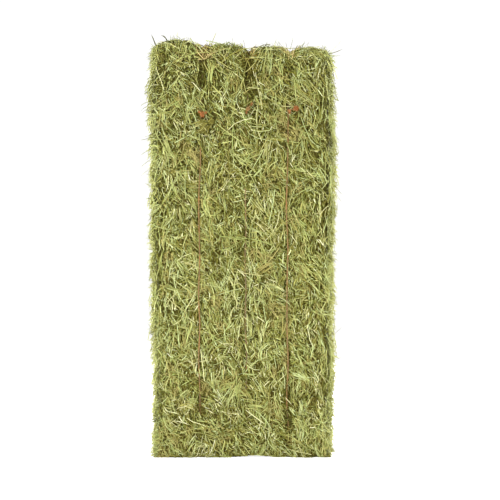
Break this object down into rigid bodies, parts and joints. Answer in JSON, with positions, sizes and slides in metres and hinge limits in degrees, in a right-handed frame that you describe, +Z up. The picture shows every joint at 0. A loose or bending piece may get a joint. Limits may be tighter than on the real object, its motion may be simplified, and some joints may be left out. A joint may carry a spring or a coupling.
{
  "type": "square hay bale",
  "caption": "Rectangular bale of dried meadow grass, pressed in flakes along its length and tied with loops of orange baler twine, standing on its end.",
  "frame": {"origin": "middle of the bale's footprint, on the surface that it stands on", "axes": "+Z up along the bale's length, +X across its width, to the right as seen from the knotted front face, +Y through its depth from the front face to the back"},
  "size_m": [0.5594, 0.4024, 1.2133],
  "materials": {
    "hay": "matte, loose dried grass stems and blades",
    "twine": "twisted split-film polypropylene baler twine, faded orange"
  },
  "bodies": {
    "root": {"flake_01": "hay", "flake_02": "hay", "flake_03": "hay", "flake_04": "hay", "flake_05": "hay", "flake_06": "hay", "flake_07": "hay", "flake_08": "hay", "flake_09": "hay", "flake_10": "hay", "flake_11": "hay", "flake_12": "hay", "flake_13": "hay", "flake_14": "hay", "twine_left": "twine", "twine_middle": "twine", "twine_right": "twine"}
  },
  "joints": []
}
